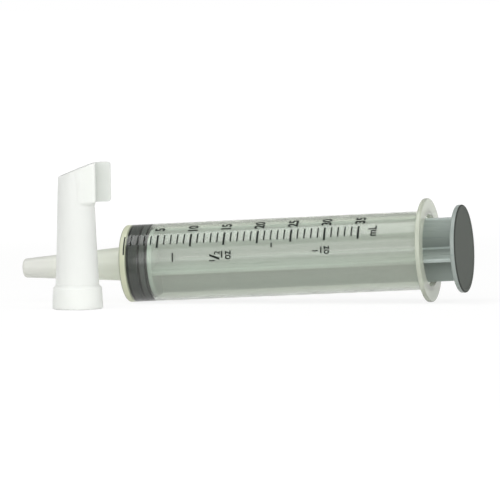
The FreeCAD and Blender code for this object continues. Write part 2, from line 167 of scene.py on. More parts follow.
def rounded_outline(corners, closed=True):
    """Points of an outline through corners (x, y, radius).

    A corner with a radius becomes an arc tangent to both its runs: the arc starts radius / tan(half the
    inner angle) from the corner, and its centre lies on the bisector. HOLD away from each end of a run
    that is longer than LONG_RUN stands one more point, so that the shading stays flat along the run.
    """
    corners = np.array(corners, float)
    points = []
    count = len(corners)
    for index, (x, y, radius) in enumerate(corners):
        here = np.array([x, y])
        if radius == 0 or (not closed and index in (0, count - 1)):
            points.append(here[None])
            continue
        back = corners[index - 1, :2] - here
        ahead = corners[(index + 1) % count, :2] - here
        back /= np.linalg.norm(back)
        ahead /= np.linalg.norm(ahead)
        half = math.acos(float(np.clip(back @ ahead, -1, 1))) / 2
        middle = (back + ahead) / np.linalg.norm(back + ahead)
        centre = here + middle * radius / math.sin(half)
        start = here + back * radius / math.tan(half) - centre
        turn = math.pi - 2 * half
        if back[0] * ahead[1] - back[1] * ahead[0] > 0:
            turn = -turn
        steps = max(2, math.ceil(abs(turn) / ARC_STEP))
        angle = np.linspace(0, turn, steps + 1)
        cosine, sine = np.cos(angle), np.sin(angle)
        points.append(centre + np.stack([start[0] * cosine - start[1] * sine,
                                         start[0] * sine + start[1] * cosine], -1))
    points = np.concatenate(points)
    ahead = np.roll(points, -1, 0) - points
    if not closed:
        ahead[-1] = 0
    length = np.linalg.norm(ahead, axis=1)
    long_run = length > LONG_RUN
    step = ahead / np.maximum(length, 1e-9)[:, None] * HOLD
    after = np.where(long_run[:, None], points + step, np.nan)
    before = np.where(long_run[:, None], points + ahead - step, np.nan)
    held = np.stack([points, after, before], 1).reshape(-1, 2)
    return held[~np.isnan(held[:, 0])]


def grid_quads(rows, columns, close_rows=False):
    """Corner numbers of a grid's quads; vertices are numbered row by row, and each row is a ring."""
    row = np.arange(rows if close_rows else rows - 1)[:, None]
    column = np.arange(columns)[None, :]
    next_row = (row + 1) % rows
    next_column = (column + 1) % columns
    corners = [row * columns + column, row * columns + next_column,
               next_row * columns + next_column, next_row * columns + column]
    return np.stack([corner.ravel() for corner in corners], -1)


def on_syringe(local):
    """World metres of points (along, side, above) in millimetres on the syringe's own axes."""
    local = np.asarray(local, float) * MM
    return NOZZLE_END + local[:, :1] * ALONG + local[:, 1:2] * SIDE + local[:, 2:] * ABOVE


def new_piece(name, shells, body, node, material):
    """One mesh object from shells of (world vertices, quads, other faces), each closed and facing out.

    Six times a shell's volume is the sum of the dot of each face fan triangle's first corner with the
    cross of the other two; where it comes out negative the shell's faces are turned round.
    """
    vertices, faces, first = [], [], 0
    for points, quads, others in shells:
        own = [list(face) for face in quads.tolist()] + [list(face) for face in others]
        triangles = np.array([(face[0], face[i], face[i + 1]) for face in own
                              for i in range(1, len(face) - 1)])
        p, q, r = (points[triangles[:, i]] for i in range(3))
        if np.einsum("ij,ij->", p, np.cross(q, r)) < 0:
            own = [face[::-1] for face in own]
        faces += [[first + corner for corner in face] for face in own]
        vertices.append(points)
        first += len(points)
    mesh = bpy.data.meshes.new(name)
    mesh.from_pydata(np.concatenate(vertices).tolist(), [], faces)
    mesh.polygons.foreach_set("use_smooth", np.ones(len(mesh.polygons), bool))
    mesh.set_sharp_from_angle(angle=SMOOTH_LIMIT)
    mesh.materials.append(material)
    piece = bpy.data.objects.new(name, mesh)
    bpy.context.scene.collection.objects.link(piece)
    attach(piece, body)
    if node:
        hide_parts(node)
    return piece


def turned_shell(outline, poles):
    """Shell of an outline (along, radius) carried round the axis: (x, r) becomes (x, r cos a, r sin a).

    With poles, the outline's two ends lie on the axis, and each end row is drawn into one vertex with a
    fan of triangles; otherwise the outline is a closed loop.
    """
    angle = np.linspace(0, 2 * math.pi, AROUND, endpoint=False)
    rows = outline[1:-1] if poles else outline
    along, radius = rows[:, :1], rows[:, 1:]
    grid = np.stack([along + 0 * angle, radius * np.cos(angle), radius * np.sin(angle)], -1)
    points = grid.reshape(-1, 3)
    quads = grid_quads(len(rows), AROUND, close_rows=not poles)
    fans = []
    if poles:
        ends = np.array([[outline[0, 0], 0, 0], [outline[-1, 0], 0, 0]])
        first_end, last_end = len(points), len(points) + 1
        points = np.concatenate([points, ends])
        column = np.arange(AROUND)
        following = (column + 1) % AROUND
        last_row = (len(rows) - 1) * AROUND
        near = np.stack([following, column, np.full(AROUND, first_end)], -1)
        far = np.stack([last_row + column, last_row + following, np.full(AROUND, last_end)], -1)
        fans = np.concatenate([near, far]).tolist()
    return on_syringe(points), quads, fans


def make_barrel(material):
    """Nozzle, tube, finger flange and stop ring, turned as one closed outline."""
    mouth = FLANGE_FRONT + FLANGE_THICKNESS
    ring = mouth - STOP_RING_SETBACK
    outline = rounded_outline([
        (0, CHANNEL_END_RADIUS, 0.3),
        (0, NOZZLE_END_RADIUS, 0.9),
        (NOZZLE_LENGTH, NOZZLE_ROOT_RADIUS, 0.8),
        (NOZZLE_LENGTH, TUBE_FRONT_RADIUS, 0.7),
        (FLANGE_FRONT, TUBE_END_RADIUS, 1.0),
        (FLANGE_FRONT, FLANGE_RADIUS, 0.45),
        (mouth, FLANGE_RADIUS, 0.45),
        (mouth, BORE_RADIUS + 0.4, 0.2),
        (mouth - 0.4, BORE_RADIUS, 0.2),
        (ring + STOP_RING_HALF, BORE_RADIUS, 0.3),
        (ring, BORE_RADIUS - STOP_RING_HEIGHT, 0.4),
        (ring - STOP_RING_HALF, BORE_RADIUS, 0.3),
        (BORE_FRONT, BORE_RADIUS, 0.6),
        (BORE_FRONT, CHANNEL_ROOT_RADIUS, 0.4),
    ])
    return new_piece("barrel_moulding", [turned_shell(outline, poles=False)],
                     "barrel", "barrel", material)


def make_stopper(material):
    """Rubber stopper: flat cone, two ribs pressed into the bore's wall, groove, waist and socket."""
    back = ROD_DISC_FRONT - BOSS_END_PLAY
    lip = back - BOSS_LIP
    floor = lip - BOSS_BARB - 2 * BOSS_END_PLAY
    rib = BORE_RADIUS + RUBBER_SQUEEZE
    low = BORE_RADIUS - WAIST_DEPTH
    outline = rounded_outline([
        (STOPPER_NOSE, 0, 0),
        (STOPPER_NOSE, NOSE_RADIUS, 0.6),
        (STOPPER_FRONT, rib, 0.2),
        (STOPPER_GROOVE, rib, 0.25),
        (STOPPER_GROOVE + RIB_GROOVE / 4, low, 0.15),
        (STOPPER_REAR_RIB - RIB_GROOVE / 4, low, 0.15),
        (STOPPER_REAR_RIB, rib, 0.25),
        (STOPPER_WAIST, rib, 0.2),
        (STOPPER_WAIST + 0.2, low, 0.1),
        (back, low, 0.2),
        (back, BOSS_STEM_RADIUS + BOSS_PLAY, 0.15),
        (lip, BOSS_STEM_RADIUS + BOSS_PLAY, 0.15),
        (lip, BOSS_BARB_RADIUS + BOSS_PLAY, 0.15),
        (floor, BOSS_BARB_RADIUS + BOSS_PLAY, 0.2),
        (floor, 0, 0),
    ], closed=False)
    return new_piece("rubber_stopper", [turned_shell(outline, poles=True)],
                     "stopper", "gasket", material)


def fin_section(reach):
    """Outline (side, above) of the cross of fins: each fin two rounded tip corners and a root fillet."""
    corner = [(reach, -FIN_HALF_THICKNESS, 0.35), (reach, FIN_HALF_THICKNESS, 0.35),
              (FIN_HALF_THICKNESS, FIN_HALF_THICKNESS, 0.45)]
    corners = []
    for fin in range(FIN_COUNT):
        turn = math.pi + FIN_TURN + fin * 2 * math.pi / FIN_COUNT
        cosine, sine = math.cos(turn), math.sin(turn)
        corners += [(y * cosine - z * sine, y * sine + z * cosine, radius) for y, z, radius in corner]
    return rounded_outline(corners)


def fins_shell(start, end):
    """The cross carried along the axis: at share t its outline is (1 - t) front + t rear."""
    front, rear = fin_section(FIN_FRONT_REACH), fin_section(FIN_REAR_REACH)
    share = np.linspace(0, 1, FIN_ROWS)[:, None]
    outline = front[None] * (1 - share[..., None]) + rear[None] * share[..., None]
    along = np.broadcast_to((start + (end - start) * share), outline.shape[:2])
    points = np.concatenate([along[..., None], outline], -1).reshape(-1, 3)
    rows, columns = outline.shape[:2]
    first = list(range(columns))[::-1]
    last = [(rows - 1) * columns + column for column in range(columns)]
    return on_syringe(points), grid_quads(rows, columns), [first, last]


def make_plunger_rod(material):
    """Barbed boss with its disc, the tapering cross of fins, and the dished thumb disc."""
    back = ROD_DISC_FRONT + ROD_DISC_THICKNESS
    lip = ROD_DISC_FRONT - BOSS_END_PLAY - BOSS_LIP
    barb = lip - BOSS_END_PLAY
    boss = rounded_outline([
        (barb - BOSS_BARB, 0, 0),
        (barb - BOSS_BARB, BOSS_NOSE_RADIUS, 0.3),
        (barb - BOSS_BARB / 4, BOSS_BARB_RADIUS, 0.2),
        (barb, BOSS_BARB_RADIUS, 0.15),
        (barb, BOSS_STEM_RADIUS, 0.2),
        (ROD_DISC_FRONT, BOSS_STEM_RADIUS, 0.1),
        (ROD_DISC_FRONT, ROD_DISC_RADIUS, 0.35),
        (back, ROD_DISC_RADIUS, 0.35),
        (back, 0, 0),
    ], closed=False)
    thumb = rounded_outline([
        (THUMB_FRONT, 0, 0),
        (THUMB_FRONT, THUMB_RADIUS, 0.5),
        (THUMB_FACE, THUMB_RADIUS, 0.5),
        (THUMB_FACE, THUMB_RADIUS - THUMB_BORDER, 0.15),
        (THUMB_DISH_FLOOR, THUMB_RADIUS - THUMB_BORDER - THUMB_DISH, 0.3),
        (THUMB_DISH_FLOOR, 0, 0),
    ], closed=False)
    shells = [turned_shell(boss, poles=True),
              fins_shell(back - ROD_DISC_THICKNESS / 2, THUMB_FRONT + THUMB_THICKNESS / 2),
              turned_shell(thumb, poles=True)]
    return new_piece("plunger_rod_moulding", shells, "plunger", "plunger_rod", material)


def cap_section():
    """Plan outline of the cap's top, as (angle, x, reach): tube, pad and tab with rounded corners.

    Reach is the distance from the axis to the pad's and the tab's outline, and zero where the tube is
    bare. Each straight run is cut so finely that two neighbours stand at most COLUMN_TURN apart as seen
    from the axis, because the same columns carry the round tube below.
    """
    tube = CAP_TOP_RADIUS
    tab_end = math.asin(TAB_HALF_THICKNESS / tube)
    corners = rounded_outline([
        (tube * math.cos(PAD_START), tube * math.sin(PAD_START), 0),
        (PAD_INSET + 0.4, -PAD_DEPTH, 2.0),
        (PAD_EDGE, -PAD_DEPTH, 1.0),
        (PAD_EDGE, -TAB_HALF_THICKNESS, 0.35),
        (TAB_REACH, -TAB_HALF_THICKNESS, 0.4),
        (TAB_REACH, TAB_HALF_THICKNESS, 0.4),
        (tube * math.cos(tab_end), TAB_HALF_THICKNESS, 0),
    ], closed=False)
    turn = np.arctan2(corners[:, 1], corners[:, 0])
    cuts = np.maximum(1, np.ceil(np.abs(np.diff(turn)) / COLUMN_TURN).astype(int))
    run = np.repeat(np.arange(len(cuts)), cuts)
    share = np.concatenate([np.arange(cut) / cut for cut in cuts])[:, None]
    plan = np.concatenate([corners[run] * (1 - share) + corners[run + 1] * share, corners[-1:]])
    round_turn = np.arange(tab_end, PAD_START + 2 * math.pi, COLUMN_TURN)[1:]
    reach = np.concatenate([np.hypot(plan[:, 0], plan[:, 1]), 0 * round_turn])
    plan = np.concatenate([plan, tube * np.stack([np.cos(round_turn), np.sin(round_turn)], -1)])
    return np.arctan2(plan[:, 1], plan[:, 0]), plan[:, 0], reach


def smooth_step(low, high, value):
    """Zero below low, one above high, and 3 t^2 - 2 t^3 between them."""
    share = np.clip((value - low) / (high - low), 0, 1)
    return share * share * (3 - 2 * share)


def make_tip_cap(material):
    """Tapered sleeve as one surface over (angle, path): up the outside, over the rim, down the bore.

    At height z the outside is the tube's circle plus a share of the way out to the plan outline where
    that reaches further; the share is a step, sudden under the tab and soft under the pad. The tab's
    far edge is drawn in by r - sqrt(r^2 - d^2) within its corner radius r of the tab's top and bottom.
    Heights above the tab's lower end are stretched so that each column ends on the slanted plane.
    """
    angle, plan_x, reach = cap_section()
    tab_bottom = CAP_HEIGHT - TAB_HEIGHT
    outer = rounded_outline([
        (0, CAP_BORE_MOUTH_RADIUS, 0),
        (0, CAP_FOOT_RADIUS, 0.5),
        (CAP_COLLAR_HEIGHT - CAP_COLLAR_CHAMFER, CAP_COLLAR_RADIUS, 0.5),
        (CAP_COLLAR_HEIGHT, CAP_ROOT_RADIUS, 0.6),
        (CAP_KNEE_HEIGHT, CAP_KNEE_RADIUS, 0),
        (CAP_HEIGHT, CAP_TOP_RADIUS, 0),
    ], closed=False)
    corner = TAB_CORNER * np.sin(np.linspace(0, math.pi / 2, TAB_CORNER_ROWS))
    height = np.unique(np.concatenate([
        outer[1:, 0],
        np.linspace(CAP_COLLAR_HEIGHT + 1, tab_bottom - 2, SLEEVE_ROWS),
        tab_bottom + np.linspace(-1.5, 0, PAD_END_ROWS),
        tab_bottom + TAB_CORNER - corner,
        [tab_bottom + TAB_STEP],
        CAP_HEIGHT - TAB_CORNER + corner,
        np.linspace(tab_bottom + 1.5, CAP_HEIGHT - 1.5, TAB_ROWS)]))
    height = height[height > outer[2, 0]]
    tube = np.interp(height, outer[1:, 0], outer[1:, 1])[:, None]
    sudden = smooth_step(tab_bottom, tab_bottom + TAB_STEP, height)[:, None]
    soft = smooth_step(tab_bottom - PAD_END_BELOW, tab_bottom + PAD_END_ABOVE, height)[:, None]
    share = np.where(plan_x[None] > PAD_EDGE, sudden, soft)
    radius = tube + share * np.clip(reach - tube, 0, None)
    x = radius * np.cos(angle)
    y = radius * np.sin(angle)
    depth = np.maximum(tab_bottom + TAB_CORNER - height, height - CAP_HEIGHT + TAB_CORNER)
    depth = np.clip(depth, 0, TAB_CORNER)
    drawn_in = TAB_CORNER - np.sqrt(TAB_CORNER ** 2 - depth ** 2)
    near, far = PAD_EDGE + DRAWN_IN_FROM, TAB_REACH - DRAWN_IN_MARGIN
    x -= share * drawn_in[:, None] * np.clip((plan_x - near) / (far - near), 0, 1)
    foot = outer[:3]
    x = np.concatenate([foot[:, 1:] * np.cos(angle), x])
    y = np.concatenate([foot[:, 1:] * np.sin(angle), y])
    height = np.concatenate([foot[:, 0], height])
    slope = CAP_SLANT_DROP / (PAD_EDGE + CAP_TOP_RADIUS)
    top = CAP_HEIGHT - slope * np.clip(PAD_EDGE - plan_x, 0, None)
    stretch = np.clip((height - tab_bottom) / TAB_HEIGHT, 0, None)[:, None]
    level = np.where(stretch > 0, tab_bottom + stretch * (top - tab_bottom)[None], height[:, None])
    bore_share = np.linspace(1, 0, CAP_BORE_ROWS)[:, None]
    bore_radius = CAP_BORE_MOUTH_RADIUS + (CAP_BORE_TOP_RADIUS - CAP_BORE_MOUTH_RADIUS) * bore_share
    bore_top = CAP_HEIGHT - slope * np.clip(PAD_EDGE - CAP_BORE_TOP_RADIUS * np.cos(angle), 0, None)
    x = np.concatenate([x, (bore_radius * np.cos(angle))[:-1]])
    y = np.concatenate([y, (bore_radius * np.sin(angle))[:-1]])
    level = np.concatenate([level, (bore_share * bore_top)[:-1]])
    cosine, sine = math.cos(CAP_TURN), math.sin(CAP_TURN)
    world = np.stack([CAP_CENTRE[0] + (x * cosine - y * sine) * MM,
                      CAP_CENTRE[1] + (x * sine + y * cosine) * MM, level * MM], -1)
    quads = grid_quads(len(x), len(angle), close_rows=True)
    return new_piece("tip_cap_moulding", [(world.reshape(-1, 3), quads, [])],
                     "barrel", "tip_cap", material)


# Printed scale: places along the tube in millimetres behind its front face, angles in degrees above
# the side that faces -Y
ZERO_MARK = 1.84
MARK_STEP = 2.286
LAST_MARK = 35
OUNCE = 29.574
MARK_TOP = 46.0
SHORT_MARK_FOOT = 29.2
LONG_MARK_FOOT = 24.5
ZERO_MARK_FOOT = 15.6
MARK_WIDTH = 0.46
LONG_MARK_WIDTH = 0.68
NUMERAL_HEIGHT = 3.35
NUMERAL_CENTRE = 59.0
NUMERAL_SQUEEZE = 0.82
NUMERAL_BEHIND = 1.75
NUMERAL_BOLD = 0.03
UNIT_HEIGHT = 2.9
UNIT_BEHIND = 6.1
UNIT_CENTRE = 36.5
UNIT_SQUEEZE = 0.8
LETTER_BOLD = 0.02
CAPITAL_SHARE = 0.73
MARK_PIECE = 2.5
INK_LIFT = 0.012
INK_THICKNESS = 0.03

# Ounce marks: ounces, then the angles of foot and top
OUNCE_MARKS = ((0.25, 2.0, 15.3), (0.5, 5.0, 15.4), (0.75, 17.2, 24.2), (1.0, 5.2, 15.1))

# Ounce lettering: text, height, ounces, millimetres behind that mark, angle of its centre, squeeze
OUNCE_LETTERING = (
    ("1", 2.0, 0.5, -2.4, 1.4, 0.9),
    ("/", 3.4, 0.5, -0.9, 6.7, 1.4),
    ("2", 2.0, 0.5, -0.7, 12.8, 0.9),
    ("oz", 2.9, 0.5, 3.0, 8.9, 0.76),
    ("1", 2.0, 1.0, -1.1, 9.2, 0.9),
    ("oz", 2.7, 1.0, 2.7, 9.9, 0.76),
)


def wrapped(points):
    """World metres of flat print (behind the front face, round the tube, lift), in millimetres.

    The middle number is an arc length on the tube's front end, upwards from the side that faces -Y;
    divided by the radius there it is the angle a. The point is (x, -r cos a, r sin a), where r is the
    drafted tube's radius at x with the lift.
    """
    behind = points[:, 0]
    grown = (TUBE_END_RADIUS - TUBE_FRONT_RADIUS) * behind / (FLANGE_FRONT - NOZZLE_LENGTH)
    radius = TUBE_FRONT_RADIUS + grown + INK_LIFT + points[:, 2]
    angle = points[:, 1] / TUBE_FRONT_RADIUS
    return on_syringe(np.stack([NOZZLE_LENGTH + behind,
                                -radius * np.cos(angle), radius * np.sin(angle)], -1))


def arc_at(degrees):
    """Arc length round the tube's front end, in millimetres, of an angle above the side."""
    return math.radians(degrees) * TUBE_FRONT_RADIUS


def mark_shell(behind, foot, top, width):
    """One scale mark: a thin slab bent round the tube, from angle foot to angle top."""
    steps = max(2, math.ceil((top - foot) / MARK_PIECE) + 1)
    arc = np.linspace(arc_at(foot), arc_at(top), steps)
    left, right = np.full(steps, behind - width / 2), np.full(steps, behind + width / 2)
    low, high = np.zeros(steps), np.full(steps, INK_THICKNESS)
    loop = np.stack([np.stack([left, arc, low], -1), np.stack([right, arc, low], -1),
                     np.stack([right, arc, high], -1), np.stack([left, arc, high], -1)], 1)
    last = 4 * (steps - 1)
    caps = [[3, 2, 1, 0], [last, last + 1, last + 2, last + 3]]
    return wrapped(loop.reshape(-1, 3)), grid_quads(steps, 4), caps


def lettering_shell(text, height, behind, centre, squeeze, bold):
    """Plain characters that read upwards round the tube, with their tops towards the nozzle.

    The flat text (x right, y up) turns into (behind - y, centre + x): its lines run round the tube.
    """
    curve = bpy.data.curves.new("print_" + text, "FONT")
    curve.body = text
    curve.align_x = "CENTER"
    curve.extrude = 0.5
    curve.offset = bold
    curve.resolution_u = 3
    holder = bpy.data.objects.new("print_" + text, curve)
    bpy.context.scene.collection.objects.link(holder)
    bpy.context.view_layer.update()
    mesh = bpy.data.meshes.new_from_object(holder.evaluated_get(bpy.context.evaluated_depsgraph_get()))
    flat = np.zeros(len(mesh.vertices) * 3)
    mesh.vertices.foreach_get("co", flat)
    flat = flat.reshape(-1, 3)
    faces = [list(polygon.vertices) for polygon in mesh.polygons]
    bpy.data.objects.remove(holder)
    bpy.data.meshes.remove(mesh)
    bpy.data.curves.remove(curve)
    scale = height / CAPITAL_SHARE
    middle = (flat[:, 0].min() + flat[:, 0].max()) / 2
    points = np.stack([behind - flat[:, 1] * scale,
                       arc_at(centre) + (flat[:, 0] - middle) * scale * squeeze,
                       (flat[:, 2] + 0.5) * INK_THICKNESS], -1)
    return wrapped(points), np.zeros((0, 4), int), faces


def mark_place(volume):
    """Millimetres behind the tube's front face of a volume in millilitres."""
    return ZERO_MARK + MARK_STEP * volume


def make_scale(material):
    """Millilitre marks with numerals every five, and the ounce scale on its own line below."""
    shells = [mark_shell(mark_place(0), ZERO_MARK_FOOT, MARK_TOP, MARK_WIDTH)]
    for volume in range(1, LAST_MARK + 1):
        long_mark = volume % 5 == 0
        shells.append(mark_shell(mark_place(volume), LONG_MARK_FOOT if long_mark else SHORT_MARK_FOOT,
                                 MARK_TOP, LONG_MARK_WIDTH if long_mark else MARK_WIDTH))
        if long_mark:
            shells.append(lettering_shell(str(volume), NUMERAL_HEIGHT,
                                          mark_place(volume) + NUMERAL_BEHIND,
                                          NUMERAL_CENTRE, NUMERAL_SQUEEZE, NUMERAL_BOLD))
    shells.append(lettering_shell("mL", UNIT_HEIGHT, mark_place(LAST_MARK) + UNIT_BEHIND,
                                  UNIT_CENTRE, UNIT_SQUEEZE, LETTER_BOLD))
    for ounces, foot, top in OUNCE_MARKS:
        shells.append(mark_shell(mark_place(ounces * OUNCE), foot, top, MARK_WIDTH))
    for text, height, ounces, behind, centre, squeeze in OUNCE_LETTERING:
        shells.append(lettering_shell(text, height, mark_place(ounces * OUNCE) + behind,
                                      centre, squeeze, LETTER_BOLD))
    return new_piece("scale_print", shells, "barrel", None, material)


GRAIN_DEPTH = 0.00002


class Wire:
    """A socket's value in shader maths: each operator adds the Math node that it stands for."""

    def __init__(self, graph, socket):
        self.graph = graph
        self.socket = socket

    def __add__(self, other):
        return self.graph.math("ADD", self, other)

    def __sub__(self, other):
        return self.graph.math("SUBTRACT", self, other)

    def __rsub__(self, other):
        return self.graph.math("SUBTRACT", other, self)

    def __mul__(self, other):
        return self.graph.math("MULTIPLY", self, other)

    def __lt__(self, other):
        return self.graph.math("LESS_THAN", self, other)

    def __gt__(self, other):
        return self.graph.math("GREATER_THAN", self, other)

    __radd__ = __add__
    __rmul__ = __mul__


class Graph:
    """The node tree of a material or of the world; add() brings in every node."""

    def __init__(self, owner):
        owner.use_nodes = True
        self.tree = owner.node_tree
        self.tree.nodes.clear()

    def add(self, kind, settings, values, output=0):
        """A node of a type, with its settings made first, then its sockets' values or links."""
        node = self.tree.nodes.new("ShaderNode" + kind)
        for name, value in settings.items():
            setattr(node, name, value)
        for name, value in values.items():
            socket = node.inputs[name]
            if isinstance(value, Wire):
                self.tree.links.new(value.socket, socket)
            else:
                socket.default_value = value
        return Wire(self, node.outputs[output]) if node.outputs else node

    def math(self, operation, first, second):
        return self.add("Math", {"operation": operation}, {0: first, 1: second})

    def blend(self, factor, first, second):
        """One colour turning into another."""
        return self.add("Mix", {"data_type": "RGBA"}, {0: factor, 6: first, 7: second}, output=2)

    def place(self, scale):
        """Object coordinates, stretched by scale along X, Y and Z."""
        where = self.add("TexCoord", {}, {}, output="Object")
        return self.add("Mapping", {}, {"Vector": where, "Scale": scale})

    def step(self, low, high, value):
        """Zero below low, one above high, smooth between them."""
        return self.add("MapRange", {"interpolation_type": "SMOOTHSTEP"},
                        {"Value": value, "From Min": low, "From Max": high})

    def syringe_place(self):
        """Millimetres along the syringe and out from its axis.

        With p the place from the nozzle's end and a the axis, they are p . a and the length of p x a.
        """
        where = self.add("TexCoord", {}, {}, output="Object")
        place = self.add("VectorMath", {"operation": "SUBTRACT"}, {0: where, 1: tuple(NOZZLE_END)})
        along = self.add("VectorMath", {"operation": "DOT_PRODUCT"},
                         {0: place, 1: tuple(ALONG)}, output="Value")
        across = self.add("VectorMath", {"operation": "CROSS_PRODUCT"}, {0: place, 1: tuple(ALONG)})
        out = self.add("VectorMath", {"operation": "LENGTH"}, {0: across}, output="Value")
        return along * (1 / MM), out * (1 / MM)

    def noise(self, scale):
        """Soft noise from zero to one over object coordinates that are stretched by scale."""
        return self.add("TexNoise", {}, {"Vector": self.place(scale), "Scale": 1.0, "Detail": 3.0})

    def bump(self, height, strength):
        return self.add("Bump", {}, {"Height": height, "Distance": GRAIN_DEPTH, "Strength": strength})


def plastic(name, settings, varying):
    """A Principled material: constants on its sockets, and what varies worked out by the function."""
    material = bpy.data.materials.new(name)
    graph = Graph(material)
    values = dict(settings)
    values.update(varying(graph))
    shader = graph.add("BsdfPrincipled", {}, values)
    graph.add("OutputMaterial", {}, {"Surface": shader})
    return material


def colour(red, green, blue):
    return (red, green, blue, 1.0)


# Finishes, in millimetres: where the rubber starts to wet the bore behind the front wall, where the
# nozzle's greyer end starts and is full, how far the painted shade on the stopper's front edge reaches,
# the length over which the rod turns bluer, with a stronger painted highlight on its fin edges, towards
# its front, the radius of the painted highlight along the fins' root fillets and of the painted shade
# that deepens towards the roots, and how far the thumb face's painted shade and roughness reach forward
WET_SETBACK = 1.2
NOZZLE_GREY_START = 20
NOZZLE_GREY_FULL = 5
SHADED_FRONT_EDGE = 0.7
FRONT_BLEND_LENGTH = 40
FILLET_HIGHLIGHT_RADIUS = 1.35
CORE_SHADE_RADIUS = 9.0
THUMB_FACE_DEPTH = 0.5

# Milky shares of the barrel's plastic
SEAL_MILK = 0.015
TUBE_MILK = 0.15
NOZZLE_MILK = 0.85
FLANGE_MILK = 0.5


def natural_polypropylene():
    """Clear tinted plastic mixed with a milky share that is high in the nozzle, front wall and flange.

    Where the rubber wets the wall the milk hardly shows and the bore doesn't mirror. Lamps shine through
    the moulding: for shadow rays it is tinted and transparent.
    """
    material = bpy.data.materials.new("natural_polypropylene")
    graph = Graph(material)
    along, out = graph.syringe_place()
    wet = BORE_FRONT + WET_SETBACK
    milk = (graph.step(wet, wet - 0.5, along) * (NOZZLE_MILK - SEAL_MILK)
            + graph.step(ROD_DISC_FRONT - 0.5, ROD_DISC_FRONT + 3.0, along) * (TUBE_MILK - SEAL_MILK)
            + graph.step(FLANGE_FRONT - 0.8, FLANGE_FRONT + 0.2, along) * (FLANGE_MILK - TUBE_MILK)
            + SEAL_MILK)
    streaks = graph.noise((60, 900, 900))
    front_wall = graph.step(NOZZLE_LENGTH - 0.3, NOZZLE_LENGTH + 0.1, along) * (along < wet + 0.1)
    # Painted shade: a dark line along the front wall's rounded outer corner.
    front_edge_shade = (graph.step(TUBE_FRONT_RADIUS - 0.6, TUBE_FRONT_RADIUS - 0.2, out)
                  * (along < NOZZLE_LENGTH + 0.5))
    tone = graph.blend(streaks, colour(0.80, 0.83, 0.735), colour(0.83, 0.86, 0.77))
    tone = graph.blend((along > FLANGE_FRONT - 0.5) * 0.7, tone, colour(0.60, 0.63, 0.52))
    tone = graph.blend(graph.step(NOZZLE_GREY_START, NOZZLE_GREY_FULL, along) * 0.8,
                       tone, colour(0.72, 0.72, 0.685))
    tone = graph.blend(front_wall, tone, colour(0.76, 0.785, 0.59))
    tone = graph.blend(front_edge_shade * 0.7, tone, colour(0.36, 0.38, 0.32))
    tint = graph.blend(streaks, colour(0.73, 0.775, 0.705), colour(0.75, 0.795, 0.725))
    clear = graph.add("BsdfPrincipled", {}, {
        "Base Color": tint, "Roughness": 0.12, "IOR": 1.49, "Transmission Weight": 0.98})
    milky = graph.add("BsdfPrincipled", {}, {
        "Base Color": tone, "Roughness": streaks * 0.1 + 0.3, "IOR": 1.49})
    wetted = graph.add("BsdfPrincipled", {}, {
        "Base Color": tint, "Roughness": 0.05, "IOR": 1.0, "Transmission Weight": 0.98})
    seal = (along > wet) * (along < ROD_DISC_FRONT) * (out < BORE_RADIUS + 0.3)
    body = graph.add("MixShader", {}, {0: milk, 1: clear, 2: milky})
    body = graph.add("MixShader", {}, {0: seal, 1: body, 2: wetted})
    lamp_ray = graph.add("LightPath", {}, {}, output="Is Shadow Ray")
    passed = graph.add("BsdfTransparent", {}, {"Color": colour(0.88, 0.89, 0.86)})
    surface = graph.add("MixShader", {}, {0: lamp_ray, 1: body, 2: passed})
    graph.add("OutputMaterial", {}, {"Surface": surface})
    return material


def stopper_rubber(graph):
    """Dark rubber, fine grain, paler bloom; painted shade in its groove, waist and front edge, painted
    highlight on its rear rib.
    """
    along, _ = graph.syringe_place()
    # Painted shade: the stopper's front edge, its groove and its waist are made black.
    groove_and_edge_shade = ((along < STOPPER_FRONT + SHADED_FRONT_EDGE)
             + (along > STOPPER_GROOVE) * (along < STOPPER_REAR_RIB) + (along > STOPPER_WAIST))
    bloom = graph.noise((500, 500, 500))
    grain = graph.noise((6000, 6000, 6000))
    tone = graph.blend(bloom, colour(0.058, 0.066, 0.062), colour(0.083, 0.091, 0.087))
    # Painted highlight: the rear rib, and the rubber behind it, is paler.
    tone = graph.blend((along > STOPPER_REAR_RIB) * 0.6, tone, colour(0.165, 0.178, 0.172))
    return {"Base Color": graph.blend(groove_and_edge_shade, tone, colour(0.006, 0.007, 0.006)),
            "Roughness": bloom * 0.2 + 0.42,
            "Normal": graph.bump(grain, 0.6)}


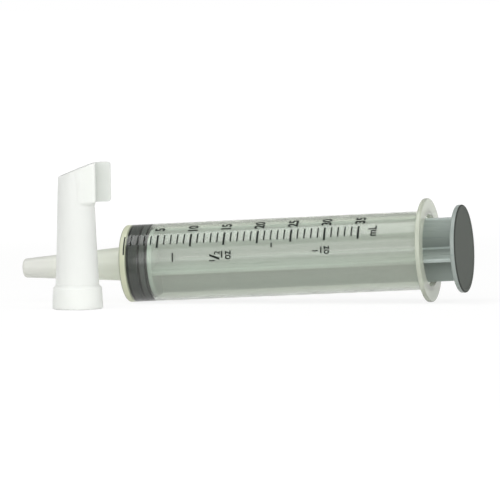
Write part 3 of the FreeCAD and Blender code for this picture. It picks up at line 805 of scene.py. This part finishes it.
def rod_plastic(graph):
    """Grey-green moulded plastic with streaks along the rod, painted darker as shade near its fins' roots.

    Painted highlights make it paler along the fins' root fillets and at its thin edges: what lies within
    about half a millimetre of the fins' reach or of the front disc's rim. Towards its front, which stays
    in the barrel, it turns a little bluer and the painted highlight on its fin edges grows stronger.
    Painted shade darkens the thumb disc and most of all its face, darkest at the face's rounded border;
    the face is also rougher.
    """
    along, out = graph.syringe_place()
    taper = (FIN_REAR_REACH - FIN_FRONT_REACH) / (THUMB_FRONT - ROD_DISC_FRONT)
    reach = (along - ROD_DISC_FRONT) * taper + FIN_FRONT_REACH
    fin_edge = graph.step(-0.6, -0.3, out - reach) * (along < THUMB_FRONT)
    face_edge = THUMB_FACE - THUMB_FACE_DEPTH
    face = graph.step(face_edge, face_edge + 0.1, along)
    rim = graph.step(THUMB_RADIUS - 0.5, THUMB_RADIUS - 0.2, out)
    disc_edge = (graph.step(ROD_DISC_RADIUS - 0.5, ROD_DISC_RADIUS - 0.2, out)
                 * (along < ROD_DISC_FRONT + ROD_DISC_THICKNESS))
    streaks = graph.noise((40, 700, 700))
    front_tint_and_highlight = graph.step(FLANGE_FRONT, FLANGE_FRONT - FRONT_BLEND_LENGTH, along)
    # Painted highlights: pale fin edges, stronger towards the front, the front disc's rim and the fins'
    # root fillets.
    painted_highlight = fin_edge * (front_tint_and_highlight * 0.4 + 0.2) + disc_edge * 0.4 + (out < FILLET_HIGHLIGHT_RADIUS) * 0.5
    tone = graph.blend(streaks, colour(0.375, 0.425, 0.40), colour(0.395, 0.445, 0.42))
    tone = graph.blend(front_tint_and_highlight, tone, colour(0.41, 0.485, 0.47))
    # Painted shade: darker towards the fins' roots, and over the whole thumb disc.
    shade = (graph.step(CORE_SHADE_RADIUS, 1.0, out) * (along < THUMB_FRONT) * 0.55
             + (along > THUMB_FRONT) * 0.3)
    tone = graph.blend(shade, tone, colour(0.13, 0.15, 0.14))
    tone = graph.blend(painted_highlight, tone, colour(0.64, 0.73, 0.71))
    # Painted shade on the thumb face, darkest at its rounded border; the face is also rougher.
    thumb_face_shade = graph.blend(rim * 0.8, colour(0.095, 0.106, 0.093), colour(0.028, 0.032, 0.028))
    return {"Base Color": graph.blend(face, tone, thumb_face_shade),
            "Roughness": streaks * 0.06 + face * 0.5 + 0.25}


def white_polyethylene(graph):
    """White waxy plastic, a little uneven in tone, with a fine orange peel; painted shade greys the tab.
    """
    where = graph.add("TexCoord", {}, {}, output="Object")
    place = graph.add("VectorMath", {"operation": "SUBTRACT"}, {0: where, 1: tuple(CAP_CENTRE)})
    reach = graph.add("VectorMath", {"operation": "DOT_PRODUCT"},
                      {0: place, 1: (math.cos(CAP_TURN), math.sin(CAP_TURN), 0.0)}, output="Value")
    height = graph.add("SeparateXYZ", {}, {"Vector": where}, output="Z") * (1 / MM)
    # Painted shade: the tab, beyond the pad's edge and above its lower end, is greyer.
    above_foot = graph.step(CAP_HEIGHT - TAB_HEIGHT - 0.6, CAP_HEIGHT - TAB_HEIGHT - 0.1, height)
    tab = graph.step(PAD_EDGE - 0.3, PAD_EDGE + 0.1, reach * (1 / MM)) * above_foot
    tone = graph.noise((120, 120, 60))
    peel = graph.noise((1500, 1500, 1500))
    white = graph.blend(tone, colour(0.775, 0.795, 0.76), colour(0.825, 0.845, 0.81))
    return {"Base Color": graph.blend(tab, white, colour(0.67, 0.695, 0.66)),
            "Roughness": tone * 0.15 + 0.36,
            "Normal": graph.bump(peel, 0.5)}


def scale_ink(graph):
    """Black print, a little thin in spots."""
    spots = graph.noise((2500, 2500, 2500))
    return {"Base Color": graph.blend(spots, colour(0.008, 0.010, 0.009), colour(0.035, 0.040, 0.036)),
            "Roughness": spots * 0.2 + 0.35}


make_barrel(natural_polypropylene())
make_stopper(plastic("stopper_rubber", {"IOR": 1.15}, stopper_rubber))
make_plunger_rod(plastic("rod_plastic", {"IOR": 1.4}, rod_plastic))
make_tip_cap(plastic("white_polyethylene",
                     {"IOR": 1.5, "Subsurface Weight": 0.5, "Subsurface Scale": 0.003,
                      "Subsurface Radius": (1.0, 1.0, 1.0)},
                     white_polyethylene))
make_scale(plastic("scale_ink", {"IOR": 1.15}, scale_ink))


def seen(graph):
    """One for rays from the camera and those sent on by gloss or clear plastic, before they scatter."""
    path = {name: graph.add("LightPath", {}, {}, output=name) for name in
            ("Is Camera Ray", "Is Glossy Ray", "Is Transmission Ray", "Diffuse Depth")}
    direct = path["Is Camera Ray"] + path["Is Glossy Ray"] + path["Is Transmission Ray"]
    return direct * (path["Diffuse Depth"] < 0.5)


# Camera, fitted to the photograph
AIM = Vector((0.002135, 0.013599, 0.017219))
DISTANCE = 1.987833
AZIMUTH = math.radians(14.703)
ELEVATION = math.radians(3.2)
ROLL = math.radians(-0.907)
FOCAL_PIXELS = 5988.4
SENSOR = 36.0

# Table and background: what the camera sees of them is white, while the light they give stays plain
FLOOR_REACH = 6.0
FLOOR_TINT = (0.9, 0.9, 0.89, 1.0)
FLOOR_WHITE = 1.06
FLOOR_SHADOW_SHARE = 0.2
FLOOR_SHADOW_NEAR = 0.25
FLOOR_SHADOW_FAR = 0.7
ROOM_LEVEL = 0.43
CEILING_DROP = 0.3
BACKDROP_TOP = 0.3
BACKDROP_SIDE = 0.8


def make_floor():
    """A wide table top that is white where seen, with a share of its own shading round the object."""
    mesh = bpy.data.meshes.new("table_top")
    corner = FLOOR_REACH
    mesh.from_pydata([(-corner, -corner, 0), (corner, -corner, 0), (corner, corner, 0),
                      (-corner, corner, 0)], [], [(0, 1, 2, 3)])
    material = bpy.data.materials.new("table_top")
    graph = Graph(material)
    shaded = graph.add("BsdfDiffuse", {}, {"Color": FLOOR_TINT})
    white = graph.add("Emission", {}, {"Color": colour(1, 1, 1), "Strength": FLOOR_WHITE})
    where = graph.add("TexCoord", {}, {}, output="Object")
    away = graph.add("VectorMath", {"operation": "LENGTH"}, {0: where}, output="Value")
    around = graph.step(FLOOR_SHADOW_FAR, FLOOR_SHADOW_NEAR, away)
    factor = seen(graph) * (1 - around * FLOOR_SHADOW_SHARE)
    surface = graph.add("MixShader", {}, {0: factor, 1: shaded, 2: white})
    graph.add("OutputMaterial", {}, {"Surface": surface})
    mesh.materials.append(material)
    floor = bpy.data.objects.new("table_top", mesh)
    bpy.context.scene.collection.objects.link(floor)


def make_room():
    """White surroundings below a dim ceiling: full strength where seen, ROOM_LEVEL as light.

    The camera sees white everywhere. Gloss and clear plastic show white as far round as BACKDROP_SIDE,
    the cosine of an angle from the line of sight, and up to BACKDROP_TOP, the sine of an angle above the
    horizon, and a dim studio beyond. Its light falls off by CEILING_DROP towards the zenith.
    """
    world = bpy.data.worlds.new("room")
    bpy.context.scene.world = world
    graph = Graph(world)
    direction = graph.add("TexCoord", {}, {}, output="Generated")
    height = graph.add("SeparateXYZ", {}, {"Vector": direction}, output="Z")
    camera_ray = graph.add("LightPath", {}, {}, output="Is Camera Ray")
    ahead = graph.add("VectorMath", {"operation": "DOT_PRODUCT"},
                      {0: direction, 1: (-math.sin(AZIMUTH), math.cos(AZIMUTH), 0.0)}, output="Value")
    backdrop = (graph.step(BACKDROP_TOP + 0.15, BACKDROP_TOP - 0.15, height)
                * graph.step(BACKDROP_SIDE - 0.1, BACKDROP_SIDE + 0.1, ahead))
    white = graph.math("MAXIMUM", camera_ray, backdrop)
    plain = (1.0 - graph.step(0.3, 0.9, height) * CEILING_DROP) * ROOM_LEVEL
    shown = seen(graph) * white
    strength = shown + (1.0 - shown) * plain
    background = graph.add("Background", {}, {"Color": colour(1, 1, 1), "Strength": strength})
    graph.add("OutputWorld", {}, {"Surface": background})


def soft_box(name, azimuth, elevation, distance, size, level):
    """A rectangular lamp aimed at the object; level is its brightness beside white."""
    azimuth, elevation = math.radians(azimuth), math.radians(elevation)
    away = Vector((math.sin(azimuth) * math.cos(elevation), -math.cos(azimuth) * math.cos(elevation),
                   math.sin(elevation)))
    light = bpy.data.lights.new(name, "AREA")
    light.shape = "RECTANGLE"
    light.size, light.size_y = size
    light.energy = level * math.pi * size[0] * size[1]
    lamp = bpy.data.objects.new(name, light)
    lamp.location = away * distance
    lamp.rotation_mode = "QUATERNION"
    lamp.rotation_quaternion = away.to_track_quat("Z", "Y")
    bpy.context.scene.collection.objects.link(lamp)


make_floor()
make_room()
soft_box("overhead_box", -53, 71.5, 1.5, (0.8, 0.8), 3.1)
soft_box("front_box", -12, 26, 1.6, (1.5, 0.75), 1.75)
soft_box("low_box", 14, 9, 1.8, (4.4, 0.55), 2.0)
soft_box("right_box", 80, 25, 1.6, (1.2, 0.9), 2.3)


def make_camera():
    """Looks at AIM from AZIMUTH round and ELEVATION up, then rolls about its own line of sight."""
    back = Vector((math.sin(AZIMUTH) * math.cos(ELEVATION), -math.cos(AZIMUTH) * math.cos(ELEVATION),
                   math.sin(ELEVATION)))
    right = Vector((math.cos(AZIMUTH), math.sin(AZIMUTH), 0))
    up = back.cross(right)
    data = bpy.data.cameras.new("camera")
    data.sensor_width = SENSOR
    data.lens = FOCAL_PIXELS / IMAGE_WIDTH * SENSOR
    data.clip_start, data.clip_end = 0.05, 50
    camera = bpy.data.objects.new("camera", data)
    level = Matrix((right, up, back)).transposed()
    camera.matrix_world = (Matrix.Translation(AIM + back * DISTANCE)
                           @ (level @ Matrix.Rotation(ROLL, 3, "Z")).to_4x4())
    bpy.context.scene.collection.objects.link(camera)
    bpy.context.scene.camera = camera


make_camera()
bpy.context.scene.view_settings.view_transform = "Standard"
